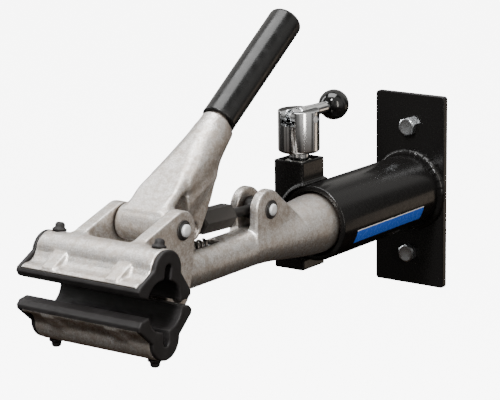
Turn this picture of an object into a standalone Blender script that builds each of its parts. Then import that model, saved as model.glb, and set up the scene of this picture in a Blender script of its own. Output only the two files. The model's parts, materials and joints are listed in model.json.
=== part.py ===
"""Wall-mounted bike repair stand: a wall plate and socket tube with a cam lock,
and a turning cast arm that carries a toggle clamp.

Frame: X along the wall, +Y into the wall, +Z up. The origin is the centre of the
wall plate's back face, so the arm reaches out along -Y. Metres throughout.
"""
import bmesh
import bpy
from math import atan2, cos, hypot, pi, radians, sin, sqrt
from mathutils import Vector

# ---------------------------------------------------------------- driving sizes
GAP = 0.0003              # clearance between pieces that touch

PLATE_WIDTH = 0.06985
PLATE_HEIGHT = 0.1715
PLATE_THICK = 0.00635
LAG_OFFSET = 0.05715      # lag bolts above and below the tube
LAG_HEAD_FLATS = 0.0143
LAG_HEAD_HEIGHT = 0.0062
LAG_SHANK_RADIUS = 0.0048

TUBE_RADIUS = 0.03175
BORE_RADIUS = 0.027
TUBE_FRONT = -0.158       # Y of the socket's open end
WELD_SIZE = 0.006

BOLT_X = -0.0248          # vertical axis of the cam lock
BOLT_Y = -0.1415
HOUSING_WIDTH = 0.0292
HOUSING_DEPTH = 0.033
HOUSING_WALL = 0.003
HOUSING_TOP = 0.050
HOUSING_BOTTOM = -0.0425

SHAFT_RADIUS = 0.0252     # journal that turns in the socket
GROOVE_RADIUS = 0.0195    # gripped by the two brake shoes
SHAFT_END = -0.030
ARM_RADIUS = 0.016

CAM_PIN_Z = 0.0845
LEVER_Z = 0.0868
BARREL_RADIUS = 0.0175
BARREL_BOTTOM = 0.0575
BARREL_TOP = 0.091
BARREL_SLOT = 0.0069      # half width
LEVER_HUB_RADIUS = 0.0075
LEVER_ROD_RADIUS = 0.00525
BALL_RADIUS = 0.013
BALL_Y = -0.0896

PIN_RADIUS = 0.00475      # jaw, handle and rear link pins
PIN_HOLE_RADIUS = 0.0051
RING_RADIUS = 0.0076
CAM_PIN_RADIUS = 0.003
CAM_PIN_HOLE_RADIUS = 0.0033
LINK_PIN_RADIUS = 0.0035
LINK_PIN_HOLE_RADIUS = 0.0038
SPRING_PIN_RADIUS = 0.0015
SPRING_PIN_HOLE_RADIUS = 0.0018
DRAW_BOLT_RADIUS = 0.004
DRAW_BOLT_HOLE_RADIUS = 0.0044

JAW_PIN = (-0.384, -0.002)        # Y, Z of the upper jaw's hinge
JAW_TILT = radians(13.7)          # how far the upper jaw stands open at rest
HANDLE_PIN = (-0.3765, 0.044)     # Y, Z of the handle's pin in the upper jaw
HANDLE_RISE = radians(35.6)       # handle's slope above the arm
LINK_PIN_IN_HANDLE = (0.025, -0.0303)   # along and across the handle
REAR_PIN = (-0.237, 0.0295)       # Y, Z of the link's pin in the arm's lugs

EAR_INNER = 0.0226
EAR_OUTER = 0.0335
KNUCKLE_RADIUS = 0.0145
BARREL_HALF = 0.0222      # handle barrel and arm knuckle, between the ears
LUG_INNER = 0.006
LUG_OUTER = 0.0138

JAW_HALF = 0.0542         # half length of a jaw casting
COVER_END = 0.058         # outer face of a rubber end plate
LOWER_JAW = (-0.4303, -0.002)     # Y, Z at the middle of the lower jaw's mouth
UPPER_JAW = (-0.0483, -0.0022)    # the same, from the jaw pin, before the tilt
DOME_Z = -0.0205          # centre of a jaw's dome, from its mouth
DOME_RADIUS = 0.016
LINER_DOME = 0.0102       # the same, for the rubber inside the casting
LIP_OUTER = (0.0303, -0.008)
LIP_INNER = (0.0266, -0.004)
PEG_X = 0.0468             # rubber pegs that hold a cover in its casting
PEG_RADIUS = 0.0038
PEG_HOLE_RADIUS = 0.0042
PEG_COLLAR_RADIUS = 0.0052

GRIP_START = 0.110        # along the handle from its pin
GRIP_END = 0.2253
GRIP_RADIUS = 0.0138
HANDLE_CORE = 0.010

HEX_FLATS = 0.016
HEX_START = 0.022         # along the link from its front pin
HEX_END = 0.062
ROD_RADIUS = 0.004
EYE_HALF = 0.0054         # half width of the link's two eyes
EYE_TRAVEL = 0.0034       # length of the rear eye's slot
EYE_SLOT_RADIUS = 0.0055

ANCHOR_PIN = (-0.2995, 0.0105)    # Y, Z of the spring's pin in the arm
HOOK_PIN = (-0.3722, 0.0192)      # Y, Z of the spring's pin in the upper jaw
SPRING_AXIS_Z = 0.0125
SPRING_RADIUS = 0.0041
SPRING_WIRE = 0.00095
SPRING_TURNS = 8
SPRING_POINTS = 10        # points a turn
SPRING_FRONT = -0.350
SPRING_REAR = -0.3085

THROUGH = 0.12            # length of a drill that goes right through

SIDE = (pi / 2, 0, pi / 2)        # turns a flat outline (x, y) into (Y, Z)
ALONG_X = (0, pi / 2, 0)
ALONG_Y = (-pi / 2, 0, 0)

# ---------------------------------------------------------------- scene set-up
for old in list(bpy.data.objects):
    bpy.data.objects.remove(old, do_unlink=True)

PARTS = bpy.data.collections.new("bike_repair_stand")
CUTTERS = bpy.data.collections.new("cutters")
for group in (PARTS, CUTTERS):
    bpy.context.scene.collection.children.link(group)


def material(name, colour, roughness, metallic):
    """A plain Principled material."""
    made = bpy.data.materials.new(name)
    made.use_nodes = True
    shader = made.node_tree.nodes["Principled BSDF"]
    shader.inputs["Base Color"].default_value = (*colour, 1)
    shader.inputs["Roughness"].default_value = roughness
    shader.inputs["Metallic"].default_value = metallic
    made.diffuse_color = (*colour, 1)
    return made


BLACK_PAINT = material("black_paint", (0.012, 0.012, 0.013), 0.25, 0.0)
CAST = material("cast_aluminium", (0.56, 0.53, 0.49), 0.45, 0.9)
ZINC = material("bright_zinc", (0.66, 0.69, 0.72), 0.3, 1.0)
CHROME = material("chrome", (0.75, 0.76, 0.78), 0.12, 1.0)
PIN_STEEL = material("pin_steel", (0.72, 0.75, 0.78), 0.25, 1.0)
BLACK_STEEL = material("black_steel", (0.02, 0.019, 0.018), 0.4, 0.6)
RUBBER = material("rubber", (0.018, 0.017, 0.017), 0.6, 0.0)
VINYL = material("vinyl", (0.01, 0.01, 0.01), 0.3, 0.0)
BALL = material("ball_plastic", (0.012, 0.012, 0.012), 0.12, 0.0)
BUSH = material("bush_plastic", (0.05, 0.05, 0.05), 0.5, 0.0)
WASHER = material("washer_nylon", (0.7, 0.69, 0.64), 0.5, 0.0)
SPRING = material("spring_steel", (0.05, 0.045, 0.04), 0.4, 0.8)


# ---------------------------------------------------------------- small tools
def pivot(name, place, parent=None, turn=0.0):
    """An empty on a joint's axis."""
    empty = bpy.data.objects.new(name, None)
    empty.empty_display_size = 0.02
    empty.location = place
    empty.rotation_euler = (turn, 0, 0)
    empty.parent = parent
    PARTS.objects.link(empty)
    return empty


def finish(obj, look=None, parent=None, place=(0, 0, 0), turn=(0, 0, 0)):
    """Place an object. Without a look it is a cutter or an operand."""
    obj.location = place
    obj.rotation_euler = turn
    obj.parent = parent
    if look is None:
        CUTTERS.objects.link(obj)
        obj.hide_render = True
        obj.display_type = "WIRE"
    else:
        PARTS.objects.link(obj)
        obj.data.materials.append(look)
    return obj


def from_bmesh(name, bm, smooth=True):
    mesh = bpy.data.meshes.new(name)
    bmesh.ops.recalc_face_normals(bm, faces=bm.faces)
    bm.to_mesh(mesh)
    bm.free()
    if smooth:
        mesh.shade_smooth()
        mesh.set_sharp_from_angle(angle=radians(35))
    return bpy.data.objects.new(name, mesh)


def box(name, low, high, **how):
    """A box between two corners, given from the parent's origin."""
    low = Vector(low)
    high = Vector(high)
    size = high - low
    bm = bmesh.new()
    bmesh.ops.create_cube(bm, size=1)
    bmesh.ops.scale(bm, vec=size, verts=bm.verts)
    obj = from_bmesh(name, bm, smooth=False)
    return finish(obj, place=(low + high) / 2, **how)


def cylinder(name, radius, length, place, turn=(0, 0, 0), sides=32, **how):
    """A cylinder centred on place."""
    bm = bmesh.new()
    bmesh.ops.create_cone(
        bm, cap_ends=True, segments=sides, radius1=radius, radius2=radius, depth=length)
    return finish(from_bmesh(name, bm), place=place, turn=turn, **how)


def turned(name, profile, steps=40, closed=False, **how):
    """Spin a profile of (radius, height) points about the local Z axis."""
    mesh = bpy.data.meshes.new(name)
    count = len(profile)
    edges = [(i, i + 1) for i in range(count - 1)]
    if closed:
        edges.append((count - 1, 0))
    mesh.from_pydata([(r, 0, h) for r, h in profile], edges, [])
    obj = finish(bpy.data.objects.new(name, mesh), **how)
    spin = obj.modifiers.new("Spin", "SCREW")
    spin.steps = steps
    spin.render_steps = steps
    spin.use_merge_vertices = True
    spin.merge_threshold = 0.00001
    spin.use_smooth_shade = True
    return obj


def settle(curve_object):
    """Turn a curve object into a closed mesh that Booleans can use."""
    bpy.context.scene.collection.objects.link(curve_object)
    graph = bpy.context.evaluated_depsgraph_get()
    mesh = bpy.data.meshes.new_from_object(curve_object.evaluated_get(graph))
    name = curve_object.name
    bpy.data.objects.remove(curve_object, do_unlink=True)
    bm = bmesh.new()
    bm.from_mesh(mesh)
    bpy.data.meshes.remove(mesh)
    bmesh.ops.remove_doubles(bm, verts=bm.verts, dist=0.000001)
    return from_bmesh(name, bm)


def plate(name, outline, thick, place=(0, 0, 0), turn=SIDE, **how):
    """A flat outline given thickness about its own plane."""
    data = bpy.data.curves.new(name, "CURVE")
    data.dimensions = "2D"
    data.fill_mode = "BOTH"
    data.extrude = thick / 2
    line = data.splines.new("POLY")
    line.points.add(len(outline) - 1)
    for point, (x, y) in zip(line.points, outline):
        point.co = (x, y, 0, 1)
    line.use_cyclic_u = True
    obj = settle(bpy.data.objects.new(name, data))
    return finish(obj, place=place, turn=turn, **how)


def wire(name, points, radius, **how):
    """A round wire with filled ends."""
    data = bpy.data.curves.new(name, "CURVE")
    data.dimensions = "3D"
    data.bevel_depth = radius
    data.bevel_resolution = 1
    data.use_fill_caps = True
    data.render_resolution_u = 0
    line = data.splines.new("POLY")
    line.points.add(len(points) - 1)
    for point, place in zip(line.points, points):
        point.co = (*place, 1)
    return finish(settle(bpy.data.objects.new(name, data)), **how)


def boolean(obj, other, operation="DIFFERENCE"):
    step = obj.modifiers.new(operation.title(), "BOOLEAN")
    step.operation = operation
    step.solver = "EXACT"
    step.object = other
    return obj


def join(obj, *others):
    for other in others:
        boolean(obj, other, "UNION")


def cut(obj, *others):
    for other in others:
        boolean(obj, other)


def bevel(obj, width, segments=2, angle=40):
    step = obj.modifiers.new("Bevel", "BEVEL")
    step.width = width
    step.segments = segments
    step.limit_method = "ANGLE"
    step.angle_limit = radians(angle)
    return obj


def arc(centre, radius, start, end, steps=12):
    """Points along an arc, angles in degrees, in outline coordinates."""
    points = []
    for i in range(steps + 1):
        angle = radians(start + (end - start) * i / steps)
        points.append((centre[0] + radius * cos(angle), centre[1] + radius * sin(angle)))
    return points


def loft(name, rings, **how):
    """Close a solid over rings of equal point count."""
    bm = bmesh.new()
    rows = [[bm.verts.new(point) for point in ring] for ring in rings]
    count = len(rows[0])
    for near, far in zip(rows, rows[1:]):
        for i in range(count):
            j = (i + 1) % count
            bm.faces.new((near[i], near[j], far[j], far[i]))
    bm.faces.new(rows[0])
    bm.faces.new(rows[-1])
    return finish(from_bmesh(name, bm), **how)


def pinned(name, place, half, radius=PIN_RADIUS, parent=None):
    """A plain cross pin along X."""
    return cylinder(name, radius, 2 * half, place, ALONG_X, 24, look=PIN_STEEL, parent=parent)


def snap_rings(stem, place, face, parent, hole=PIN_RADIUS):
    """A retaining ring at each end of a cross pin, on faces at X = +-face."""
    thick = 0.0012
    for side, word in ((1, "right"), (-1, "left")):
        middle = side * (face + GAP + thick / 2)
        profile = [(RING_RADIUS, thick / 2), (RING_RADIUS, -thick / 2),
                   (hole + GAP, -thick / 2), (hole + GAP, thick / 2)]
        turned(f"{stem}_ring_{word}", profile, 28, True, look=BLACK_STEEL, parent=parent,
               place=(middle, place[1], place[2]), turn=ALONG_X)


# ---------------------------------------------------------------- wall mount
def build_wall_plate():
    back = box("wall_plate", (-PLATE_WIDTH / 2, -PLATE_THICK, -PLATE_HEIGHT / 2),
               (PLATE_WIDTH / 2, 0, PLATE_HEIGHT / 2), look=BLACK_PAINT)
    for word, height in (("upper", LAG_OFFSET), ("lower", -LAG_OFFSET)):
        cut(back, cylinder(f"lag_hole_{word}", LAG_SHANK_RADIUS + GAP, 0.02,
                           (0, -PLATE_THICK / 2, height), ALONG_Y, 24))
        head_middle = -PLATE_THICK - GAP - LAG_HEAD_HEIGHT / 2
        head = cylinder(f"lag_bolt_{word}", LAG_HEAD_FLATS / sqrt(3), LAG_HEAD_HEIGHT,
                        (0, head_middle, height), ALONG_Y, 6, look=ZINC)
        shank_start = head_middle
        shank_end = -0.0005
        join(head, cylinder(f"lag_shank_{word}", LAG_SHANK_RADIUS, shank_end - shank_start,
                            (0, (shank_start + shank_end) / 2, height), ALONG_Y, 24))
    bevel(back, 0.0008, 1, 60)


def build_socket():
    back = -PLATE_THICK - GAP
    edge = 0.0008
    profile = [(TUBE_RADIUS, back), (TUBE_RADIUS, TUBE_FRONT + edge),
               (TUBE_RADIUS - edge, TUBE_FRONT), (BORE_RADIUS + edge, TUBE_FRONT),
               (BORE_RADIUS, TUBE_FRONT + edge), (BORE_RADIUS, back)]
    tube = turned("socket_tube", profile, 48, True, look=BLACK_PAINT, turn=ALONG_Y)
    inner_x = HOUSING_WIDTH / 2 - HOUSING_WALL
    inner_y = HOUSING_DEPTH / 2 - HOUSING_WALL
    cut(tube, box("shoe_passage", (BOLT_X - inner_x - 0.01, BOLT_Y - inner_y, -0.045),
                  (BOLT_X + inner_x, BOLT_Y + inner_y, 0.045)))
    reach = TUBE_RADIUS + GAP
    turned("plate_weld", [(reach, back - WELD_SIZE), (reach, back), (reach + WELD_SIZE, back)],
           48, True, look=BLACK_PAINT, turn=ALONG_Y)
    for word, start, end in (("front", -0.1215, -0.103), ("rear", -0.056, -0.038)):
        ring = [(BORE_RADIUS - GAP, end), (BORE_RADIUS - GAP, start),
                (SHAFT_RADIUS + GAP, start), (SHAFT_RADIUS + GAP, end)]
        turned(f"shaft_bush_{word}", ring, 40, True, look=BUSH, turn=ALONG_Y)


def build_housing():
    half_x = HOUSING_WIDTH / 2
    half_y = HOUSING_DEPTH / 2
    shell = box("lock_housing", (BOLT_X - half_x, BOLT_Y - half_y, HOUSING_BOTTOM),
                (BOLT_X + half_x, BOLT_Y + half_y, HOUSING_TOP), look=BLACK_PAINT)
    inner_x = half_x - HOUSING_WALL
    inner_y = half_y - HOUSING_WALL
    cut(shell,
        box("housing_inside", (BOLT_X - inner_x, BOLT_Y - inner_y, HOUSING_BOTTOM - 0.01),
            (BOLT_X + inner_x, BOLT_Y + inner_y, HOUSING_TOP + 0.01)),
        cylinder("housing_cope", TUBE_RADIUS + GAP, 0.06, (0, BOLT_Y, 0), ALONG_Y, 96))


def build_shoes(root):
    """Two coped blocks that pinch the shaft's groove when the bolt is drawn up."""
    play = 0.0004
    half_x = HOUSING_WIDTH / 2 - HOUSING_WALL - play
    half_y = HOUSING_DEPTH / 2 - HOUSING_WALL - play
    grip = GROOVE_RADIUS + GAP
    for word, low, high in (("upper", 0.0015, 0.044), ("lower", -0.041, -0.0015)):
        joint = pivot(f"{word}_shoe_slide", (BOLT_X, BOLT_Y, 0), root)
        shoe = box(f"{word}_brake_shoe", (-half_x, -half_y, low), (half_x, half_y, high),
                   look=BLACK_STEEL, parent=joint)
        cut(shoe,
            cylinder(f"{word}_shoe_cope", grip, 0.06, (0, BOLT_Y, 0), ALONG_Y, 64),
            cylinder(f"{word}_shoe_bore", DRAW_BOLT_HOLE_RADIUS, THROUGH,
                     (BOLT_X, BOLT_Y, 0), sides=24))
        if word == "lower":
            cut(shoe, cylinder("bolt_head_pocket", 0.0085, 0.012, (BOLT_X, BOLT_Y, -0.041),
                               sides=32))
            bolt = cylinder("draw_bolt", DRAW_BOLT_RADIUS, 0.112, (0, 0, 0.0186), sides=24,
                            look=PIN_STEEL, parent=joint)
            join(bolt, cylinder("draw_bolt_head", 0.0072, 0.006, (BOLT_X, BOLT_Y, -0.0387),
                                sides=6))
    rim = 0.0113
    bore = 0.0045
    washer = [(rim, 0.048), (rim, 0.0458), (bore, 0.0458), (bore, 0.048)]
    turned("thrust_washer", washer, 32, True, look=WASHER, place=(BOLT_X, BOLT_Y, 0))


def build_barrel(root):
    axis = pivot("barrel_axis", (BOLT_X, BOLT_Y, 0), root)
    neck = 0.0085
    edge = 0.002
    profile = [(0, BARREL_TOP), (BARREL_RADIUS - 0.0006, BARREL_TOP),
               (BARREL_RADIUS, BARREL_TOP - 0.0006), (BARREL_RADIUS, BARREL_BOTTOM + edge),
               (BARREL_RADIUS - edge, BARREL_BOTTOM), (neck, BARREL_BOTTOM),
               (neck, 0.0483), (0, 0.0483)]
    barrel = turned("cam_barrel", profile, 40, look=CHROME, parent=axis)
    reach = 0.03
    slot_bottom = 0.0795
    cut(barrel,
        box("barrel_slot", (BOLT_X - BARREL_SLOT, BOLT_Y - reach, slot_bottom),
            (BOLT_X + BARREL_SLOT, BOLT_Y + reach, 0.1)),
        cylinder("barrel_hub_room", LEVER_HUB_RADIUS + 0.0008, 2 * BARREL_SLOT,
                 (BOLT_X, BOLT_Y, CAM_PIN_Z), ALONG_X, 40),
        cylinder("barrel_bore", DRAW_BOLT_HOLE_RADIUS, 0.06, (BOLT_X, BOLT_Y, 0.06), sides=24),
        cylinder("barrel_pin_hole", CAM_PIN_HOLE_RADIUS, THROUGH, (BOLT_X, BOLT_Y, CAM_PIN_Z),
                 ALONG_X, 24))
    pinned("cam_pin", (0, 0, CAM_PIN_Z), BARREL_RADIUS - 0.0005, CAM_PIN_RADIUS, axis)
    return axis


def build_lever(axis):
    joint = pivot("lever_axis", (0, 0, CAM_PIN_Z), axis)
    half = BARREL_SLOT - 0.0004
    hub = cylinder("lever_rod", LEVER_HUB_RADIUS, 2 * half, (0, 0, 0), ALONG_X, 40,
                   look=CHROME, parent=joint)
    rise = LEVER_Z - CAM_PIN_Z
    rod_start = BOLT_Y
    rod_end = BALL_Y - 0.003
    join(hub, cylinder("lever_shank", LEVER_ROD_RADIUS, rod_end - rod_start,
                       (BOLT_X, (rod_start + rod_end) / 2, LEVER_Z), ALONG_Y, 24))
    cut(hub, cylinder("lever_eye", CAM_PIN_HOLE_RADIUS, THROUGH, (BOLT_X, BOLT_Y, CAM_PIN_Z),
                      ALONG_X, 24))
    bm = bmesh.new()
    bmesh.ops.create_uvsphere(bm, u_segments=28, v_segments=16, radius=BALL_RADIUS)
    ball = finish(from_bmesh("lever_ball", bm), BALL, joint, (0, BALL_Y - BOLT_Y, rise))
    cut(ball, cylinder("ball_bore", LEVER_ROD_RADIUS + GAP, 0.020,
                       (BOLT_X, rod_end - 0.010 + GAP, LEVER_Z), ALONG_Y, 24))


# ---------------------------------------------------------------- jaw sections
def mirror_outline(half):
    """Complete an outline from its right half, which runs bottom to top."""
    left = [(-y, z) for y, z in reversed(half) if y > 0]
    return half + left


def bell_half(radius, waist_end):
    """Right half of the dome, from its lowest point to the end of the flare."""
    return arc((0, DOME_Z), radius, -90, 0, 8) + [waist_end]


def casting_outline():
    """Bell section of a jaw with its mouth towards +Z, closed across the mouth."""
    return mirror_outline(bell_half(DOME_RADIUS, LIP_OUTER) + [LIP_INNER])


def mouth_half():
    """The rubber's mouth from the outer lip in to the bottom of the keyhole."""
    slot = 0.0046
    return [(0.0309, -0.0045), (0.0275, -0.001), (0.019, 0.0), (0.0070, -0.0105),
            (slot, -0.0125)] + arc((0, DOME_Z), 0.0036, 0, -90, 5)


def liner_outline():
    """Rubber inside the casting, wrapped over the casting's two lips."""
    outside = bell_half(LINER_DOME, (LIP_INNER[0] - 0.0003, LIP_INNER[1] + 0.0004))
    outside += [(LIP_OUTER[0] + 0.0003, LIP_OUTER[1] + 0.0005)]
    return ring_outline(outside + mouth_half())


def end_plate_outline():
    """Full end section of the rubber, which covers the casting's end."""
    outside = bell_half(DOME_RADIUS - 0.0003, (0.0303, -0.0078))
    return ring_outline(outside + mouth_half())


def ring_outline(right):
    """Close an outline that starts and ends on the centre line."""
    left = [(-y, z) for y, z in reversed(right[1:-1])]
    return right + left


def place_outline(outline, centre, flip):
    """Move an outline to a jaw, turned mouth down when flip is -1."""
    placed = [(centre[0] + y, centre[1] + flip * z) for y, z in outline]
    return placed if flip > 0 else placed[::-1]


def cavity_outline():
    """The space inside a casting that takes the rubber."""
    wall = bell_half(LINER_DOME + 0.0003, LIP_INNER)
    return mirror_outline(wall + [(LIP_INNER[0] + 0.004, LIP_INNER[1] + 0.010)])


def build_cover(name, centre, flip, parent):
    cover = plate(name, place_outline(liner_outline(), centre, flip), 2 * JAW_HALF + 0.002,
                  look=RUBBER, parent=parent)
    thick = COVER_END - JAW_HALF - GAP
    for side, word in ((1, "right"), (-1, "left")):
        middle = side * (COVER_END - thick / 2)
        end = plate(f"{name}_end_{word}", place_outline(end_plate_outline(), centre, flip),
                    thick, place=(middle, 0, 0), parent=parent)
        foot = centre[1] + flip * (DOME_Z - LINER_DOME + 0.002)
        tip = centre[1] + flip * (DOME_Z - DOME_RADIUS - 0.0066)
        peg = cylinder(f"{name}_peg_{word}", PEG_RADIUS, abs(tip - foot),
                       (side * PEG_X, centre[0], (foot + tip) / 2), sides=20, parent=parent)
        crown = centre[1] + flip * (DOME_Z - DOME_RADIUS)
        low = crown + flip * -GAP
        collar = cylinder(f"{name}_collar_{word}", PEG_COLLAR_RADIUS, 0.0018,
                          (side * PEG_X, centre[0], low + flip * -0.0009), sides=20,
                          parent=parent)
        join(cover, end, peg, collar)


def open_jaw(casting, name, centre, flip, parent):
    """Hollow a jaw casting for its rubber and drill it for the rubber's pegs."""
    cut(casting, plate(f"{name}_cavity", place_outline(cavity_outline(), centre, flip),
                       2 * JAW_HALF + 0.01, parent=parent))
    for side, word in ((1, "right"), (-1, "left")):
        cut(casting, cylinder(f"{name}_peg_hole_{word}", PEG_HOLE_RADIUS, 0.02,
                              (side * PEG_X, centre[0], centre[1] + flip * -0.036),
                              sides=20, parent=parent))


# ---------------------------------------------------------------- clamp arm
def build_arm(turn):
    front = -0.384
    profile = [(0, SHAFT_END), (SHAFT_RADIUS - 0.001, SHAFT_END),
               (SHAFT_RADIUS, SHAFT_END - 0.001), (SHAFT_RADIUS, -0.1274),
               (GROOVE_RADIUS, -0.1274), (GROOVE_RADIUS, -0.1556), (SHAFT_RADIUS, -0.1556),
               (SHAFT_RADIUS, -0.161), (0.0246, -0.170), (0.0228, -0.181),
               (0.0210, -0.193), (0.0188, -0.210), (0.0168, -0.230),
               (ARM_RADIUS, -0.245), (ARM_RADIUS, front), (0, front)]
    arm = turned("clamp_arm", profile, 36, look=CAST, parent=turn, turn=ALONG_Y)
    lug_centre = (REAR_PIN[0] - 0.0023, REAR_PIN[1] - 0.0002)
    lug_radius = 0.0167
    lug = [(-0.205, 0.004), (-0.205, 0.0185)]
    lug += arc(lug_centre, lug_radius, 48, 180, 14)
    lug += [(lug_centre[0] - lug_radius, 0.004)]
    for side, word in ((1, "right"), (-1, "left")):
        middle = side * (LUG_INNER + LUG_OUTER) / 2
        join(arm, plate(f"lug_{word}", lug, LUG_OUTER - LUG_INNER, (middle, 0, 0),
                        parent=turn))
    join(arm, cylinder("arm_knuckle", KNUCKLE_RADIUS - 0.0005, 2 * BARREL_HALF,
                       (0, *JAW_PIN), ALONG_X, 40, parent=turn))
    neck = [(-0.372, -0.0150), (-0.372, 0.0), (-0.392, -0.0105), (-0.4050, -0.0130),
            (-0.4135, -0.0225), (-0.404, -0.0300), (-0.390, -0.0205)]
    join(arm, plate("jaw_neck", neck[::-1], 2 * BARREL_HALF - 0.002, parent=turn))
    join(arm, plate("lower_jaw_bell", place_outline(casting_outline(), LOWER_JAW, 1),
                    2 * JAW_HALF, parent=turn))
    open_jaw(arm, "lower_jaw", LOWER_JAW, 1, turn)
    cut(arm,
        cylinder("jaw_pin_bore", PIN_HOLE_RADIUS, THROUGH, (0, *JAW_PIN), ALONG_X, 24,
                 parent=turn),
        cylinder("rear_pin_bore", PIN_HOLE_RADIUS, THROUGH, (0, *REAR_PIN), ALONG_X, 24,
                 parent=turn),
        box("spring_channel", (-0.0056, -0.3605, 0.0062), (0.0056, -0.2945, 0.03), parent=turn),
        box("jaw_relief", (-0.03, -0.3825, 0.0125), (0.03, -0.3600, 0.03), parent=turn),
        cylinder("anchor_pin_bore", SPRING_PIN_HOLE_RADIUS, THROUGH, (0, *ANCHOR_PIN), ALONG_X,
                 16, parent=turn))


def spring_route():
    """Rear loop round the anchor pin, the coil, then a long hook for the jaw's pin."""
    loop = 0.0029
    route = [(0, ANCHOR_PIN[0] + y, ANCHOR_PIN[1] + z)
             for y, z in arc((0, 0), loop, -150, 110, 10)]
    turns = SPRING_TURNS * SPRING_POINTS
    for i in range(turns + 1):
        angle = 2 * pi * i / SPRING_POINTS
        along = SPRING_REAR + (SPRING_FRONT - SPRING_REAR) * i / turns
        route.append((SPRING_RADIUS * sin(angle), along,
                      SPRING_AXIS_Z + SPRING_RADIUS * cos(angle)))
    hook = 0.0044
    centre = (HOOK_PIN[0] + hook - SPRING_PIN_RADIUS - SPRING_WIRE - GAP, HOOK_PIN[1])
    low = centre[1] - hook
    route.append((0, SPRING_FRONT - 0.004, SPRING_AXIS_Z + SPRING_RADIUS - 0.0015))
    route.append((0, SPRING_FRONT - 0.008, low))
    route += [(0, y, z) for y, z in arc(centre, hook, 270, 90, 10)]
    return route


def build_arm_pieces(turn):
    build_cover("lower_jaw_cover", LOWER_JAW, 1, turn)
    pinned("rear_link_pin", (0, *REAR_PIN), 0.0170, parent=turn)
    snap_rings("rear_pin", (0, *REAR_PIN), LUG_OUTER, turn)
    pinned("jaw_hinge_pin", (0, *JAW_PIN), 0.0372, parent=turn)
    snap_rings("jaw_pin", (0, *JAW_PIN), EAR_OUTER, turn)
    wire("return_spring", spring_route(), SPRING_WIRE, look=SPRING, parent=turn)
    pinned("spring_anchor_pin", (0, *ANCHOR_PIN), 0.0098, SPRING_PIN_RADIUS, turn)


# ---------------------------------------------------------------- upper jaw
def in_jaw(point):
    """A point (Y, Z) in the upper jaw's own frame, before its tilt."""
    y = point[0] - JAW_PIN[0]
    z = point[1] - JAW_PIN[1]
    return (y * cos(JAW_TILT) - z * sin(JAW_TILT), y * sin(JAW_TILT) + z * cos(JAW_TILT))


def build_upper_jaw(turn):
    jaw = pivot("jaw_axis", (0, *JAW_PIN), turn, -JAW_TILT)
    casting = plate("upper_jaw", place_outline(casting_outline(), UPPER_JAW, -1),
                    2 * JAW_HALF, look=CAST, parent=jaw)
    eye = in_jaw(HANDLE_PIN)
    eye_radius = 0.0145
    bell_top = UPPER_JAW[1] - DOME_Z + DOME_RADIUS
    ear = arc((0, 0), KNUCKLE_RADIUS, -170, 0, 14)
    ear += [(0.0146, 0.020)]
    ear += arc(eye, eye_radius, 5, 122, 14)
    ear += [(-0.0440, bell_top + 0.0045), (-0.0520, bell_top - 0.0015), (-0.048, 0.026),
            (-0.030, 0.0145), (-0.0180, 0.0070)]
    for side, word in ((1, "right"), (-1, "left")):
        middle = side * (EAR_INNER + EAR_OUTER) / 2
        join(casting, plate(f"ear_{word}", ear, EAR_OUTER - EAR_INNER, (middle, 0, 0),
                            parent=jaw))
    open_jaw(casting, "upper_jaw", UPPER_JAW, -1, jaw)
    hook = in_jaw(HOOK_PIN)
    cut(casting,
        cylinder("ear_hinge_bore", PIN_HOLE_RADIUS, THROUGH, (0, 0, 0), ALONG_X, 24, parent=jaw),
        cylinder("ear_handle_bore", PIN_HOLE_RADIUS, THROUGH, (0, *eye), ALONG_X, 24,
                 parent=jaw),
        cylinder("ear_hook_bore", SPRING_PIN_HOLE_RADIUS, 0.0600, (0, *hook), ALONG_X, 16,
                 parent=jaw))
    build_cover("upper_jaw_cover", UPPER_JAW, -1, jaw)
    pinned("handle_pin", (0, *eye), 0.0375, parent=jaw)
    snap_rings("handle_pin", (0, *eye), EAR_OUTER, jaw)
    pinned("spring_hook_pin", (0, *hook), 0.0275, SPRING_PIN_RADIUS, jaw)
    return jaw


# ---------------------------------------------------------------- handle
HANDLE_SECTIONS = [
    # along, half width, top, bottom, squareness
    (0.004, 0.0195, 0.0130, 0.0020, 4.0),
    (0.025, 0.0195, 0.0130, 0.0045, 4.0),
    (0.045, 0.0183, 0.0130, -0.0060, 3.0),
    (0.065, 0.0160, 0.0128, -0.0110, 2.5),
    (0.085, 0.0130, 0.0126, -0.0126, 2.0),
    (0.1085, 0.0123, 0.0123, -0.0123, 2.0),
]


def section_ring(along, half, top, bottom, square, count=28):
    """A rounded cross-section of the handle, round at 2 and boxy at 4."""
    middle = (top + bottom) / 2
    tall = (top - bottom) / 2
    ring = []
    for i in range(count):
        angle = 2 * pi * i / count
        x = abs(cos(angle)) ** (2 / square) * half
        z = abs(sin(angle)) ** (2 / square) * tall
        ring.append((x if cos(angle) > 0 else -x, along, middle + (z if sin(angle) > 0 else -z)))
    return ring


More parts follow.
